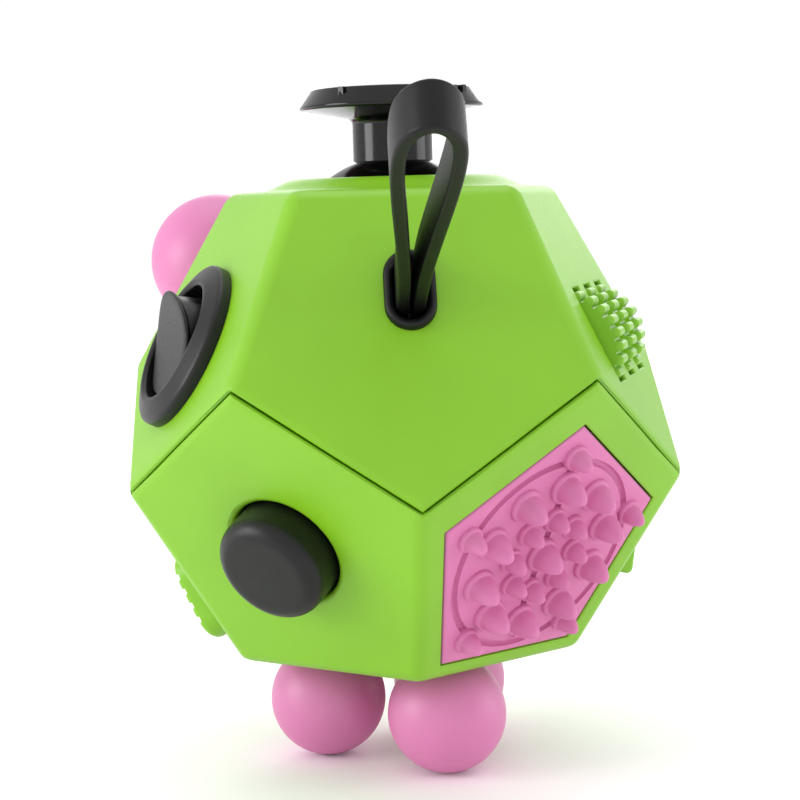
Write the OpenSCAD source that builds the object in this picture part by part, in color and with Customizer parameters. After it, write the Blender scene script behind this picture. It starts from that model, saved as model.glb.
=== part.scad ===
// Twelve-sided fidget toy: a regular dodecahedron with a different finger gadget on each face.
// +Z is up through the joystick. The toy stands on its three ball feet, and the origin is the
// point on the desk under the middle of the body. The front, -Y, is the face with the wrist strap.

/* [Body] */
// Length of one edge of the twelve-sided body
edge = 20; // [19:0.5:25]
// Wall thickness of the two shells
wall = 2.2; // [2:0.1:2.6]
// Width of the visible seam between the shells
seam = 0.24; // [0.16:0.02:0.4]
// How far the lower shell's tongue stands up inside the upper shell
tongue = 1.2; // [0.8:0.1:1.6]
// Radial clearance of every running fit
fit = 0.06; // [0.03:0.01:0.1]
// Gap between moving plastic parts
gap = 0.2; // [0.15:0.05:0.25]

/* [Joystick] */
// Diameter of the thumb cap
cap_d = 17.7; // [15:0.1:19]
// Diameter of the neck under the cap
neck_d = 7.7; // [6:0.1:8.4]
// Height of the cap's rim above the face
cap_h = 9.5; // [8.5:0.1:11]
// Radius of the dome that closes the opening
dome_r = 10.4; // [10.2:0.1:10.8]
// Depth of the tilting centre below the face
stick_depth = 7; // [6.8:0.1:7.2]
// Diameter of the gimbal's pins
gimbal_pin_d = 1.8; // [1.4:0.1:2]

/* [Strap] */
// Distance of the strap above the middle of its face
strap_up = 3.6; // [2.5:0.1:4]
// Width of the flat strap
strap_w = 4.1; // [3:0.1:4.2]
// Thickness of the flat strap
strap_t = 1.15; // [0.8:0.05:1.2]

/* [Toothed wheels] */
// Radius of a wheel over its teeth
wheel_r = 5.7; // [5.2:0.1:6]
// Width of a wheel
wheel_w = 3.3; // [2.6:0.1:3.5]
// Distance from one wheel to the next
wheel_pitch = 6.5; // [6.4:0.1:6.8]
// Number of teeth on a wheel
wheel_teeth = 26; // [18:1:28]
// Depth of the wheels' axle below the face
wheel_depth = 3.6; // [3.4:0.1:3.8]
// Diameter of the wheels' axle
axle_d = 2; // [1.6:0.1:2.4]

/* [Dial] */
// Diameter of the turning dial
dial_d = 19.2; // [16:0.1:20]
// Diameter of the fixed ring that the dial turns on
dial_ring_d = 22.4; // [21:0.1:22.6]
// Number of finger notches round the dial
dial_notches = 40; // [24:1:48]

/* [Knob] */
// Diameter of the ball knob
knob_d = 14.4; // [12:0.1:16]
// Diameter of the knob's stem
knob_stem_d = 7.5; // [6:0.1:8]
// Height of the ball's centre above the face
knob_h = 11.8; // [11:0.1:13]
// How far the knob can be pushed in
knob_travel = 3; // [1:0.1:3]

/* [Rocker switch] */
// Diameter of the switch's flange
bezel_d = 16; // [15:0.1:17]
// Diameter of the opening in the flange
bezel_bore_d = 11.2; // [10:0.1:11.4]
// Distance of the switch below the middle of its face
rocker_down = 2.2; // [1.5:0.1:2.5]
// Angle that the rocker leans to each side
rocker_tilt = 18; // [10:1:20]

/* [Touch pad] */
// Edge length of the silicone pad
pad_edge = 16; // [15:0.1:16.4]
// Thickness of the pad
pad_t = 1.3; // [1:0.1:1.4]
// Distance of the pad below the middle of its face
pad_down = 1.2; // [0.8:0.1:1.3]
// Radius of a large stud
stud_r = 1.65; // [1.2:0.05:1.8]

/* [Flip paddles] */
// Half length of a paddle across its pin
paddle_reach = 6.4; // [5:0.1:6.5]
// Width of a paddle along its pin
paddle_w = 8.7; // [7:0.1:8.8]
// Angle that a paddle leans to each side
paddle_tilt = 12; // [6:1:13]
// Depth of the paddles' pin below the face
paddle_depth = 3.4; // [3.3:0.1:3.6]
// Diameter of the paddles' pin
paddle_pin_d = 2; // [1.6:0.1:2.2]

/* [Worry dent] */
// Width of the thumb dent
dent_w = 14.4; // [10:0.1:15]
// Length of the thumb dent
dent_l = 22.8; // [18:0.1:23.5]
// Depth of the thumb dent
dent_t = 1.3; // [0.6:0.1:1.4]

/* [Sliders] */
// Width of a slider's slot
slot_w = 2.9; // [2.4:0.1:3]
// Length of a slider's slot
slot_l = 14; // [12:0.1:14.2]
// Distance from one slot to the next
slot_pitch = 7.2; // [7:0.1:7.4]
// How much higher the middle slot sits than its neighbours
slot_step = 5.4; // [3:0.1:5.6]
// Width of a slider's thumb piece
slider_w = 5.2; // [3.6:0.1:5.4]
// Length of a slider's thumb piece
slider_l = 9; // [7:0.1:9]
// Length of the neck that runs in the slot
slider_neck = 6; // [5:0.1:7]

/* [Push button] */
// Diameter of the button
button_d = 10.5; // [9:0.1:11]
// Height of the button above the face
button_h = 3.6; // [2.8:0.1:4.4]
// How far the button can be pushed in
button_travel = 1.6; // [0.8:0.1:2]

/* [Ball feet] */
// Diameter of a ball foot
foot_d = 11.3; // [10:0.1:12]
// Distance of the ball feet from the middle of their face
foot_ring = 7.9; // [7.4:0.1:8.1]
// Height of a ball foot's centre above its face
foot_h = 5.3; // [4.8:0.1:6]
// Diameter of the posts that the ball feet turn on
post_d = 3; // [2:0.1:3.6]

/* [Hidden] */
$fn = 64;

// Regular dodecahedron: distance of a face from the middle, and the zigzag waist's corners
inradius = edge / 2 * sqrt((25 + 11 * sqrt(5)) / 10);
waist_r = edge * (1 + sqrt(5)) / 2 * sqrt((5 + sqrt(5)) / 10);
waist_z = inradius - edge * sqrt((5 + sqrt(5)) / 10);
tilt = asin(1 / sqrt(5));
seam_layer = inradius - wall / 2;
centre_z = inradius + foot_h + foot_d / 2;

// Each face is [azimuth, elevation] of its outward direction
STICK = [-90, 90];
STRAP = [-90, tilt];
GEARS = [-18, tilt];
DIAL = [54, tilt];
KNOB = [126, tilt];
ROCKER = [198, tilt];
PAD = [-54, -tilt];
FLIPS = [18, -tilt];
DENT = [90, -tilt];
SLIDERS = [162, -tilt];
BUTTON = [234, -tilt];
FEET = [90, -90];

// Colours
GREEN = "#8ccb30";
PINK = "#f29ac8";
BLACK = "#2b2b2b";
STEEL = "#b8bcc0";
SATIN = "#3c3c3c";

// Shared small sizes
plate_t = 1.2;
spring_wire = 0.5;
spring_sides = 6;
spring_steps = 16;
bracket_x = 10.8;
lug_t = 1.4;
gimbal_r = 7;
gimbal_h = 2.4;
stem_r = 2.4;
spigot_r = 1.5;
stem_foot = -stick_depth - 2.2;
spring_seat = stem_foot - 3;
dome_t = 1.2;
dome_clear = 0.25;
dome_skirt = -1;
dome_top = -stick_depth + sqrt(dome_r * dome_r - neck_d * neck_d / 4);
lip_h = 1.1;
lip_r = 9.6;
lip_foot_r = 12;
strap_side = 0.75;
wheel_down = 1.6;
tooth_r = 0.45;
rib_u = [-9.2, -wheel_pitch / 2, wheel_pitch / 2, 9.2];
rib_t = [1.3, 2.2, 2.2, 1.3];
spine_v = 4.7;
dial_seat = 1.2;
dial_hub_r = 3.2;
clip_groove_r = 2.6;
plunger_r = 1.8;
plunger_rod_r = 1.4;
guide_r = 5.9;
guide_floor = -10;
bezel_h = 1.9;
rocker_r = bezel_bore_d / 2 - gap * 0.75;
rocker_pivot = 0.8;
rocker_pin_r = 0.8;
paddle_gap = 0.3;
paddle_t = 1.6;
paddle_top = 1.6;
paddle_fold = 4;
pocket_u = paddle_w + paddle_gap;
pocket_v = 7.7;
cheek_t = 1.2;
slot_mid = -2.5;
slider_travel = slot_l - slider_neck - gap;
fin_turn = 52;
foot_turn = 36;
slider_h = 2.4;
slot_gap = 0.15;
groove_start = -2.2;
groove_pitch = 1.5;
groove_wide = 0.5;
groove_deep = 0.5;
tooth_clear = 0.1;
carrier_top = -wall - gap;
carrier_t = 1.1;
tray_z = -wall - 2;
button_flange_r = button_d / 2 + 1;
button_guide_r = button_flange_r + 1;
button_foot = -wall - gap - plate_t;
button_floor = -7.6;
seat_r = 2.16;
seat_z = -0.6;

// Half of the strap's centreline as [sideways, outwards], from its end inside the body to its tip
STRAP_ROUTE = [[0.75, -5.4], [0.75, -2], [0.75, 1], [0.78, 4], [0.95, 8], [1.25, 12], [1.6, 16],
    [1.95, 20], [2.2, 23.5], [2.3, 26], [2.28, 28], [2.05, 29.8], [1.5, 31.2], [0.8, 32], [0, 32.3]];
strap_path = concat(STRAP_ROUTE, [for (i = [len(STRAP_ROUTE) - 2:-1:0])
    [-STRAP_ROUTE[i][0], STRAP_ROUTE[i][1]]]);

// Puts its children on a face: x sideways, y up the face and z outwards from the surface
module on_face(face) {
    translate([0, 0, centre_z]) rotate([0, 0, face[0] + 90]) rotate([90 - face[1], 0, 0])
        translate([0, 0, inradius]) children();
}

module dodecahedron(r) {
    intersection_for(face = [STICK, STRAP, GEARS, DIAL, KNOB, ROCKER])
        rotate([0, 0, face[0] + 90]) rotate([90 - face[1], 0, 0])
            cube([4 * r, 4 * r, 2 * r], center = true);
}

function waist(i, k) = [k * waist_r * cos(36 * i + 18), k * waist_r * sin(36 * i + 18),
    k * waist_z * (i % 2 == 0 ? 1 : -1)];

// Everything under the zigzag waist, moved up by rise
module below_waist(rise) {
    reach = 1.6;
    bottom = -3 * edge;
    translate([0, 0, rise]) polyhedron(
        points = concat([[0, 0, 0]], [for (i = [0:9]) waist(i, reach)],
            [for (i = [0:9]) [waist(i, reach)[0], waist(i, reach)[1], bottom]]),
        faces = concat([for (i = [0:9]) [0, 1 + (i + 1) % 10, 1 + i]],
            [for (i = [0:9]) [1 + i, 1 + (i + 1) % 10, 11 + (i + 1) % 10, 11 + i]],
            [[for (i = [0:9]) 11 + i]]));
}

module whole_shell() {
    difference() {
        dodecahedron(inradius);
        dodecahedron(inradius - wall);
    }
}

module tongue_region() {
    intersection() {
        below_waist(tongue);
        dodecahedron(seam_layer);
    }
}

// Flat-ended slot shape with round ends, standing along y
module stadium(w, l, h) {
    translate([-w / 2, -(l - w) / 2, 0]) cube([w, l - w, h]);
    for (s = [-1, 1])
        translate([0, s * (l - w) / 2, 0]) cylinder(d = w, h = h);
}

// Helical spring standing on z = 0
module coil_spring(r, h, turns) {
    steps = turns * spring_steps;
    w = spring_wire / 2;
    points = [for (j = [0:steps]) for (k = [0:spring_sides - 1])
        let (t = 360 * j / spring_steps, a = 360 * k / spring_sides, q = r + w * cos(a))
        [q * cos(t), q * sin(t), w + (h - 2 * w) * j / steps + w * sin(a)]];
    sides = [for (j = [0:steps - 1]) for (k = [0:spring_sides - 1])
        let (a = j * spring_sides + k, b = j * spring_sides + (k + 1) % spring_sides)
        each [[a, b, b + spring_sides], [a, b + spring_sides, a + spring_sides]]];
    start = [[for (k = [spring_sides - 1:-1:0]) k]];
    end = [[for (k = [0:spring_sides - 1]) steps * spring_sides + k]];
    polyhedron(points = points, faces = concat(sides, start, end));
}

// ---- Shells ----

module upper_shell() {
    color(GREEN) difference() {
        union() {
            difference() {
                translate([0, 0, centre_z]) whole_shell();
                translate([0, 0, centre_z]) below_waist(seam / 2);
                translate([0, 0, centre_z]) tongue_region();
            }
            on_face(STICK) cylinder(h = lip_h, r1 = lip_foot_r, r2 = lip_r);
        }
        on_face(STICK) translate([0, 0, -stick_depth]) sphere(r = dome_r + dome_clear);
        on_face(STRAP) translate([0, strap_up, -wall - 1]) stadium(3.9, 6.6, wall + 2);
        on_face(GEARS) wheel_slots();
        on_face(DIAL) translate([0, 0, -dial_seat]) cylinder(d = dial_ring_d + 0.2, h = 3);
        on_face(DIAL) translate([0, 0, -wall - 1]) cylinder(d = dial_ring_d - 3, h = 3);
        on_face(KNOB) translate([0, 0, -wall - 1])
            cylinder(d = knob_stem_d + 2 * gap, h = wall + 2);
        on_face(ROCKER) translate([0, -rocker_down, -wall - 1])
            cylinder(d = bezel_bore_d + 2, h = wall + 2);
    }
}

module lower_shell() {
    color(GREEN) difference() {
        intersection() {
            translate([0, 0, centre_z]) whole_shell();
            union() {
                translate([0, 0, centre_z]) below_waist(-seam / 2);
                translate([0, 0, centre_z]) tongue_region();
            }
        }
        on_face(PAD) translate([0, -pad_down, -pad_t]) pentagon(pad_edge, pad_t + 1);
        on_face(FLIPS) translate([-pocket_u, -pocket_v, -wall - 1])
            cube([2 * pocket_u, 2 * pocket_v, wall + 2]);
        on_face(DENT) translate([0, 0, -dent_t]) stadium(dent_w, dent_l, dent_t + 1);
        on_face(SLIDERS) slider_slots();
        on_face(BUTTON) translate([0, 0, -wall - 1]) cylinder(d = button_d + 2 * gap, h = wall + 2);
        on_face(BUTTON) translate([0, 0, -0.6])
            cylinder(h = 0.61, r1 = button_d / 2 + gap, r2 = button_d / 2 + 0.9);
        for (i = [0:2]) {
            at_foot(i) translate([0, 0, foot_h]) sphere(d = foot_d + 2 * gap);
            at_foot(i) translate([0, 0, -wall - 1]) cylinder(d = post_d, h = wall + 2);
        }
        on_face(FEET) translate([0, 0, seat_z]) sphere(r = seat_r);
        on_face(FEET) translate([0, 0, -wall - 1]) cylinder(r = seat_r, h = wall + 1 + seat_z);
    }
}

// ---- Joystick ----

module joystick_cap() {
    r = cap_d / 2;
    color(BLACK) on_face(STICK) difference() {
        union() {
            rotate_extrude() polygon([[0, dome_top], [neck_d / 2, dome_top],
                [neck_d / 2, cap_h - 2.9], [r, cap_h - 1.75], [r, cap_h - 1.45],
                [r - 1.1, cap_h], [r - 1.65, cap_h], [r - 1.95, cap_h - 0.7], [0, cap_h - 1.1]]);
            for (a = [0:90:270])
                rotate([0, 0, a + fin_turn]) translate([r - 5.6, -0.25, cap_h - 1.2])
                    cube([4, 0.5, 1]);
        }
        translate([0, 0, dome_top - 1]) cylinder(r = spigot_r, h = cap_h - 4 - dome_top + 1);
    }
}

module joystick_dome() {
    color(BLACK) on_face(STICK) difference() {
        union() {
            difference() {
                translate([0, 0, -stick_depth]) sphere(r = dome_r);
                translate([0, 0, -stick_depth]) sphere(r = dome_r - dome_t);
                translate([0, 0, dome_skirt - 3 * dome_r]) cylinder(r = 2 * dome_r, h = 3 * dome_r);
            }
            translate([0, 0, 0.4]) cylinder(r = stem_r + 1, h = dome_top - 0.4);
        }
        cylinder(r = spigot_r, h = 2 * dome_r, center = true);
        translate([0, 0, dome_top]) cylinder(r = dome_r, h = dome_r);
    }
}

module joystick_stem() {
    color(SATIN) on_face(STICK) {
        translate([0, 0, stem_foot]) cylinder(r = stem_r, h = 0.4 - stem_foot);
        translate([0, 0, 0.3]) cylinder(r = spigot_r, h = cap_h - 4.3);
        translate([0, 0, -stick_depth]) rotate([90, 0, 0])
            cylinder(d = gimbal_pin_d, h = 2 * gimbal_r - 0.4, center = true);
    }
}

module gimbal_ring() {
    color(SATIN) on_face(STICK) translate([0, 0, -stick_depth]) {
        difference() {
            cylinder(r = gimbal_r, h = gimbal_h, center = true);
            cylinder(r = gimbal_r - 2, h = gimbal_h + 1, center = true);
            rotate([90, 0, 0])
                cylinder(r = gimbal_pin_d / 2 + fit, h = 3 * gimbal_r, center = true);
        }
        for (s = [0, 180])
            rotate([0, 90, s]) translate([0, 0, gimbal_r - 1])
                cylinder(d = gimbal_pin_d, h = 3.4);
    }
}

module joystick_bracket() {
    color(SATIN) on_face(STICK) {
        for (s = [0, 180]) rotate([0, 0, s]) {
            translate([bracket_x, -2, -stick_depth - 1.8])
                cube([lug_t, 4, stick_depth + 1.8 - wall]);
            difference() {
                translate([gimbal_r + 0.4, -2, -stick_depth - 1.8])
                    cube([bracket_x + lug_t - gimbal_r - 0.4, 4, 3.6]);
                translate([0, 0, -stick_depth]) rotate([0, 90, 0])
                    cylinder(r = gimbal_pin_d / 2 + fit, h = bracket_x);
            }
            translate([gimbal_r + 0.4, -2, spring_seat - plate_t])
                cube([1.6, 4, -stick_depth - 1.8 - spring_seat + plate_t]);
        }
        translate([-gimbal_r - 2, -3.2, spring_seat - plate_t])
            cube([2 * gimbal_r + 4, 6.4, plate_t]);
    }
}

module joystick_spring() {
    color(STEEL) on_face(STICK) translate([0, 0, spring_seat])
        coil_spring(1.9, stem_foot - spring_seat, 4);
}

// ---- Wrist strap ----

module strap_grommet() {
    color(BLACK) on_face(STRAP) translate([0, strap_up, 0]) difference() {
        union() {
            stadium(4.6, 7.3, 0.9);
            translate([0, 0, -wall - 0.5]) stadium(3.9, 6.6, wall + 1);
            translate([0, 0, -wall - 0.9]) stadium(4.6, 7.3, 0.9);
        }
        translate([0, 0, -wall - 2]) stadium(3, 5.9, wall + 4);
    }
}

function strap_normal(i) = let (n = len(strap_path),
    d = strap_path[min(i + 1, n - 1)] - strap_path[max(i - 1, 0)]) [d[1], -d[0]] / norm(d);

module strap_loop() {
    n = len(strap_path);
    color(BLACK) on_face(STRAP) translate([0, strap_up, 0]) rotate([90, 0, 0])
        linear_extrude(strap_w, center = true) polygon(concat(
            [for (i = [0:n - 1]) strap_path[i] + strap_normal(i) * strap_t / 2],
            [for (i = [n - 1:-1:0]) strap_path[i] - strap_normal(i) * strap_t / 2]));
}

module strap_anchor() {
    top = -wall - 0.9;
    color(SATIN) on_face(STRAP) translate([0, strap_up, 0]) difference() {
        translate([-2.6, -3.2, top - 3.2]) cube([5.2, 6.4, 3.2]);
        for (s = [-1, 1])
            translate([s * strap_side - strap_t / 2, -strap_w / 2, -5.4])
                cube([strap_t, strap_w, 5]);
    }
}

// ---- Toothed wheels ----

module wheel_slots() {
    for (i = [-1:1])
        translate([i * wheel_pitch, -wheel_down, -wheel_depth]) rotate([0, 90, 0])
            cylinder(r = wheel_r + 0.25, h = wheel_w + 2 * gap, center = true);
}

module gear_wheel(i) {
    color(GREEN) on_face(GEARS)
        translate([i * wheel_pitch, -wheel_down, -wheel_depth]) rotate([0, 90, 0]) difference() {
            union() {
                cylinder(r = wheel_r - 0.6, h = wheel_w, center = true);
                for (k = [0:wheel_teeth - 1])
                    rotate([0, 0, 360 * (k + 0.5) / wheel_teeth])
                        translate([wheel_r - tooth_r, 0, 0])
                            cylinder(r = tooth_r, h = wheel_w - tooth_clear, center = true);
            }
            cylinder(r = axle_d / 2 + fit, h = wheel_w + 1, center = true);
        }
}

module gear_wheel_1() { gear_wheel(-1); }
module gear_wheel_2() { gear_wheel(0); }
module gear_wheel_3() { gear_wheel(1); }

module gear_axle() {
    color(STEEL) on_face(GEARS) translate([0, -wheel_down, -wheel_depth]) rotate([0, 90, 0])
        cylinder(d = axle_d, h = 19.6, center = true);
}

module gear_cradle() {
    drop = wheel_depth + 2.4;
    color(SATIN) on_face(GEARS) difference() {
        union() {
            for (k = [0:3])
                translate([rib_u[k] - rib_t[k] / 2, -wheel_down - 3, -drop])
                    cube([rib_t[k], spine_v + 1.2 + wheel_down + 3, drop - wall]);
            translate([rib_u[0], spine_v, -wall - 1.6])
                cube([rib_u[3] - rib_u[0], 1.2, 1.6]);
        }
        translate([0, -wheel_down, -wheel_depth]) rotate([0, 90, 0])
            cylinder(d = axle_d, h = 30, center = true);
    }
}

// ---- Dial ----

module dial() {
    r = dial_d / 2;
    color(GREEN) on_face(DIAL) difference() {
        rotate_extrude() polygon([[0, -3.4], [dial_hub_r, -3.4], [dial_hub_r, -2.1],
            [clip_groove_r, -2.1], [clip_groove_r, -1.4], [dial_hub_r, -1.4], [dial_hub_r, 0.15],
            [r, 0.15], [r, 1.7], [r - 0.25, 2.2], [r - 0.7, 2.4], [r - 1.5, 2.4],
            [r - 2.2, 1.7], [r - 4.5, 1.3], [0, 1.1]]);
        for (k = [0:dial_notches - 1])
            rotate([0, 0, 360 * k / dial_notches]) translate([r + 0.12, 0, -1])
                cylinder(r = 0.42, h = 2.6, $fn = 16);
    }
}

module dial_ring() {
    color(GREEN) on_face(DIAL) translate([0, 0, -dial_seat]) difference() {
        cylinder(d = dial_ring_d, h = dial_seat);
        translate([0, 0, -1]) cylinder(r = dial_hub_r + fit, h = dial_seat + 2);
    }
}

module dial_clip() {
    color(STEEL) on_face(DIAL) translate([0, 0, -2]) difference() {
        cylinder(r = clip_groove_r + 2, h = 0.5);
        translate([0, 0, -1]) cylinder(r = clip_groove_r, h = 3);
        translate([0, -0.9, -1]) cube([10, 1.8, 3]);
    }
}

// ---- Ball knob ----

module knob() {
    color(PINK) on_face(KNOB) difference() {
        union() {
            translate([0, 0, knob_h]) sphere(d = knob_d);
            translate([0, 0, -1.6]) cylinder(d = knob_stem_d, h = knob_h);
            translate([0, 0, 3.6]) cylinder(h = 2, d1 = knob_stem_d, d2 = knob_stem_d + 1.6);
        }
        translate([0, 0, -2]) cylinder(r = plunger_r + fit, h = knob_h);
    }
}

module knob_plunger() {
    color(SATIN) on_face(KNOB) {
        translate([0, 0, -2.5]) cylinder(r = plunger_r, h = knob_h);
        translate([0, 0, -2.5]) cylinder(d = knob_stem_d - 1, h = 0.85);
        translate([0, 0, -wall - gap - plate_t]) cylinder(r = guide_r - 1.4, h = plate_t);
        translate([0, 0, guide_floor - 0.8])
            cylinder(r = plunger_rod_r, h = -guide_floor - wall - gap - plate_t + 0.9);
    }
}

module knob_guide() {
    color(SATIN) on_face(KNOB) difference() {
        translate([0, 0, guide_floor - plate_t])
            cylinder(r = guide_r, h = -guide_floor - wall + plate_t);
        translate([0, 0, guide_floor]) cylinder(r = guide_r - 1.2, h = -guide_floor);
        translate([0, 0, guide_floor - 3]) cylinder(r = plunger_rod_r + fit, h = 5);
    }
}

module knob_spring() {
    color(STEEL) on_face(KNOB) translate([0, 0, guide_floor])
        coil_spring(2.9, -guide_floor - wall - gap - plate_t, 5);
}

// ---- Rocker switch ----

module rocker_bezel() {
    r = bezel_d / 2;
    b = bezel_bore_d / 2;
    color(SATIN) on_face(ROCKER) translate([0, -rocker_down, 0]) difference() {
        rotate_extrude() polygon([[b, -5.4], [b + 1, -5.4], [b + 1, 0], [r, 0], [r, 1.1],
            [r - 0.8, bezel_h], [b, bezel_h]]);
        translate([0, 0, rocker_pivot]) rotate([0, 90, 0])
            cylinder(r = rocker_pin_r, h = 2 * b + 1.6, center = true);
    }
}

// The rocker level, about its own pin: a slice of a ball with a shallow valley on top
module level_rocker() {
    valley = 9;
    difference() {
        sphere(r = rocker_r);
        translate([-10, -10, -13]) cube([20, 20, 10.4]);
        for (s = [0, 180])
            rotate([0, 0, s]) translate([-10, 0, 1.9]) rotate([valley, 0, 0])
                translate([0, -1, 0]) cube([20, 20, 10]);
        rotate([0, 90, 0]) cylinder(r = rocker_pin_r + fit, h = 20, center = true);
    }
}

module rocker() {
    color(SATIN) on_face(ROCKER) translate([0, -rocker_down, rocker_pivot])
        rotate([rocker_tilt, 0, 0]) level_rocker();
}

module rocker_pin() {
    color(STEEL) on_face(ROCKER) translate([0, -rocker_down, rocker_pivot]) rotate([0, 90, 0])
        cylinder(r = rocker_pin_r, h = bezel_bore_d + 1.6, center = true);
}

// ---- Silicone touch pad ----

module pentagon(side, h) {
    rotate([0, 0, 90]) cylinder(r = side * sqrt((5 + sqrt(5)) / 10), h = h, $fn = 5);
}

module stud(r) {
    cylinder(r = r, h = 0.5);
    translate([0, 0, 0.4]) cylinder(h = 1.1 * r, r1 = 0.82 * r, r2 = 0.42 * r);
    translate([0, 0, 0.4 + 1.1 * r]) sphere(r = 0.42 * r);
}

module stud_ring(count, ring_r, r) {
    for (k = [0:count - 1])
        rotate([0, 0, 360 * k / count]) translate([0, ring_r, 0]) stud(r);
}

module touch_pad() {
    color(PINK) on_face(PAD) translate([0, -pad_down, 0]) {
        difference() {
            translate([0, 0, -pad_t]) pentagon(pad_edge - 0.25, pad_t);
            translate([0, 0, -0.5]) difference() {
                cylinder(r = 10.15, h = 1);
                translate([0, 0, -1]) cylinder(r = 9.45, h = 3);
            }
            translate([-0.4, -9.6, -0.5]) cube([0.8, 21, 1]);
        }
        translate([0, 0, -0.5]) {
            cylinder(r = stud_r, h = 0.6);
            for (k = [0:9])
                rotate([0, 0, 36 * k]) translate([0, 7.2, 0]) cylinder(r = stud_r, h = 0.6);
            for (k = [0:7])
                rotate([0, 0, 45 * k]) translate([0, 3.8, 0])
                    cylinder(r = 0.72 * stud_r, h = 0.6);
            for (k = [0:4])
                rotate([0, 0, 72 * k]) translate([0, 10.3, 0])
                    cylinder(r = 0.76 * stud_r, h = 0.6);
        }
        stud(stud_r * 1.06);
        stud_ring(8, 3.8, 0.72 * stud_r);
        stud_ring(10, 7.2, stud_r);
        stud_ring(5, 10.3, 0.76 * stud_r);
    }
}

// ---- Flip paddles ----

// A paddle level, about its own pin: two wings that meet in a shallow valley
module level_paddle() {
    top = paddle_depth + paddle_top;
    difference() {
        union() {
            for (s = [0, 180])
                rotate([0, 0, s]) translate([-paddle_w / 2, 0, top]) rotate([paddle_fold, 0, 0])
                    translate([0, -0.4, -paddle_t])
                        cube([paddle_w, paddle_reach + 0.4, paddle_t]);
            translate([-paddle_w / 2, -1.5, 0]) cube([paddle_w, 3, top - paddle_t + 0.6]);
            rotate([0, 90, 0]) cylinder(r = paddle_pin_d / 2 + 1.1, h = paddle_w, center = true);
        }
        rotate([0, 90, 0])
            cylinder(r = paddle_pin_d / 2 + fit, h = paddle_w + 1, center = true);
    }
}

module flip_paddle(side) {
    color(GREEN) on_face(FLIPS)
        translate([side * (paddle_w + paddle_gap) / 2, 0, -paddle_depth])
            rotate([side * paddle_tilt, 0, 0]) level_paddle();
}

module flip_paddle_1() { flip_paddle(1); }
module flip_paddle_2() { flip_paddle(-1); }

module flip_pin() {
    color(STEEL) on_face(FLIPS) translate([0, 0, -paddle_depth]) rotate([0, 90, 0])
        cylinder(d = paddle_pin_d, h = 2 * pocket_u + 2, center = true);
}

module flip_bracket() {
    floor_z = -paddle_depth - 3.2;
    color(SATIN) on_face(FLIPS) difference() {
        union() {
            for (s = [-1, 1])
                translate([s * (pocket_u + cheek_t / 2) - cheek_t / 2, -4, floor_z])
                    cube([cheek_t, 8, -floor_z - wall]);
            translate([-pocket_u - cheek_t, -6.5, floor_z - 0.8])
                cube([2 * pocket_u + 2 * cheek_t, 13, 0.8]);
        }
        translate([0, 0, -paddle_depth]) rotate([0, 90, 0])
            cylinder(d = paddle_pin_d, h = 2 * pocket_u + 2, center = true);
    }
}

// ---- Sliders ----

// Middle of a slot up its face: the middle slot sits higher
function slot_v(i) = slot_mid + (i == 0 ? slot_step : 0);
// Where a slider rests: the first two at the top of their slots, the third at the bottom
function slider_v(i) = slot_v(i) + (i == 1 ? -1 : 1) * slider_travel / 2;

module slider_slots() {
    for (i = [-1:1])
        translate([i * slot_pitch, slot_v(i), -wall - 1]) stadium(slot_w, slot_l, wall + 2);
}

module slider_neck_shape(grow, h) {
    stadium(slot_w - gap + grow, slider_neck + grow, h);
}

module slider(i) {
    color(GREEN) on_face(SLIDERS) translate([i * slot_pitch, slider_v(i), 0]) {
        difference() {
            translate([0, 0, slot_gap]) stadium(slider_w, slider_l, slider_h - slot_gap);
            for (k = [0:3])
                translate([-5, groove_start + k * groove_pitch, slider_h - groove_deep])
                    rotate([18, 0, 0]) cube([10, groove_wide, 2]);
        }
        translate([0, 0, carrier_top - carrier_t])
            slider_neck_shape(0, 0.3 - carrier_top + carrier_t);
    }
}

module slider_carrier(i) {
    color(SATIN) on_face(SLIDERS)
        translate([i * slot_pitch, slider_v(i), carrier_top - carrier_t]) difference() {
            translate([-2.2, -3.8, 0]) cube([4.4, 7.6, carrier_t]);
            translate([0, 0, -1]) slider_neck_shape(0, 4);
        }
}

module slider_1() { slider(-1); }
module slider_2() { slider(0); }
module slider_3() { slider(1); }
module slider_carrier_1() { slider_carrier(-1); }
module slider_carrier_2() { slider_carrier(0); }
module slider_carrier_3() { slider_carrier(1); }

module slider_tray() {
    color(BLACK) on_face(SLIDERS) {
        translate([0, 0, tray_z - 0.8]) linear_extrude(0.8)
            polygon([[-9.2, -10.6], [9.2, -10.6], [10.4, 3], [3.4, 12], [-3.4, 12], [-10.4, 3]]);
        for (s = [-1, 1])
            translate([s * slot_pitch / 2 - 0.5, -9, tray_z - 0.1])
                cube([1, 17.5, -wall - tray_z + 0.1]);
    }
}

// ---- Push button ----

module button_cap() {
    r = button_d / 2;
    color(BLACK) on_face(BUTTON) difference() {
        union() {
            rotate_extrude() union() {
                polygon([[0, button_foot], [button_flange_r, button_foot],
                    [button_flange_r, button_foot + plate_t], [r, button_foot + plate_t],
                    [r, button_h - 1.6], [r - 1.6, button_h - 1.6], [r - 1.6, button_h],
                    [0, button_h]]);
                translate([r - 1.6, button_h - 1.6]) intersection() {
                    circle(r = 1.6);
                    square(2);
                }
            }
        }
        translate([0, 0, button_foot - 1]) cylinder(r = 3, h = 2.8);
    }
}

module button_guide() {
    color(SATIN) on_face(BUTTON) difference() {
        translate([0, 0, button_floor - plate_t])
            cylinder(r = button_guide_r, h = -button_floor - wall + plate_t);
        translate([0, 0, button_floor]) cylinder(r = button_flange_r + gap, h = 10);
    }
}

module button_spring() {
    color(STEEL) on_face(BUTTON) translate([0, 0, button_floor])
        coil_spring(2.2, button_foot + 1.8 - button_floor, 5);
}

// ---- Ball feet ----

module at_foot(i) {
    on_face(FEET) rotate([0, 0, 120 * i + foot_turn]) translate([0, foot_ring, 0]) children();
}

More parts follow.
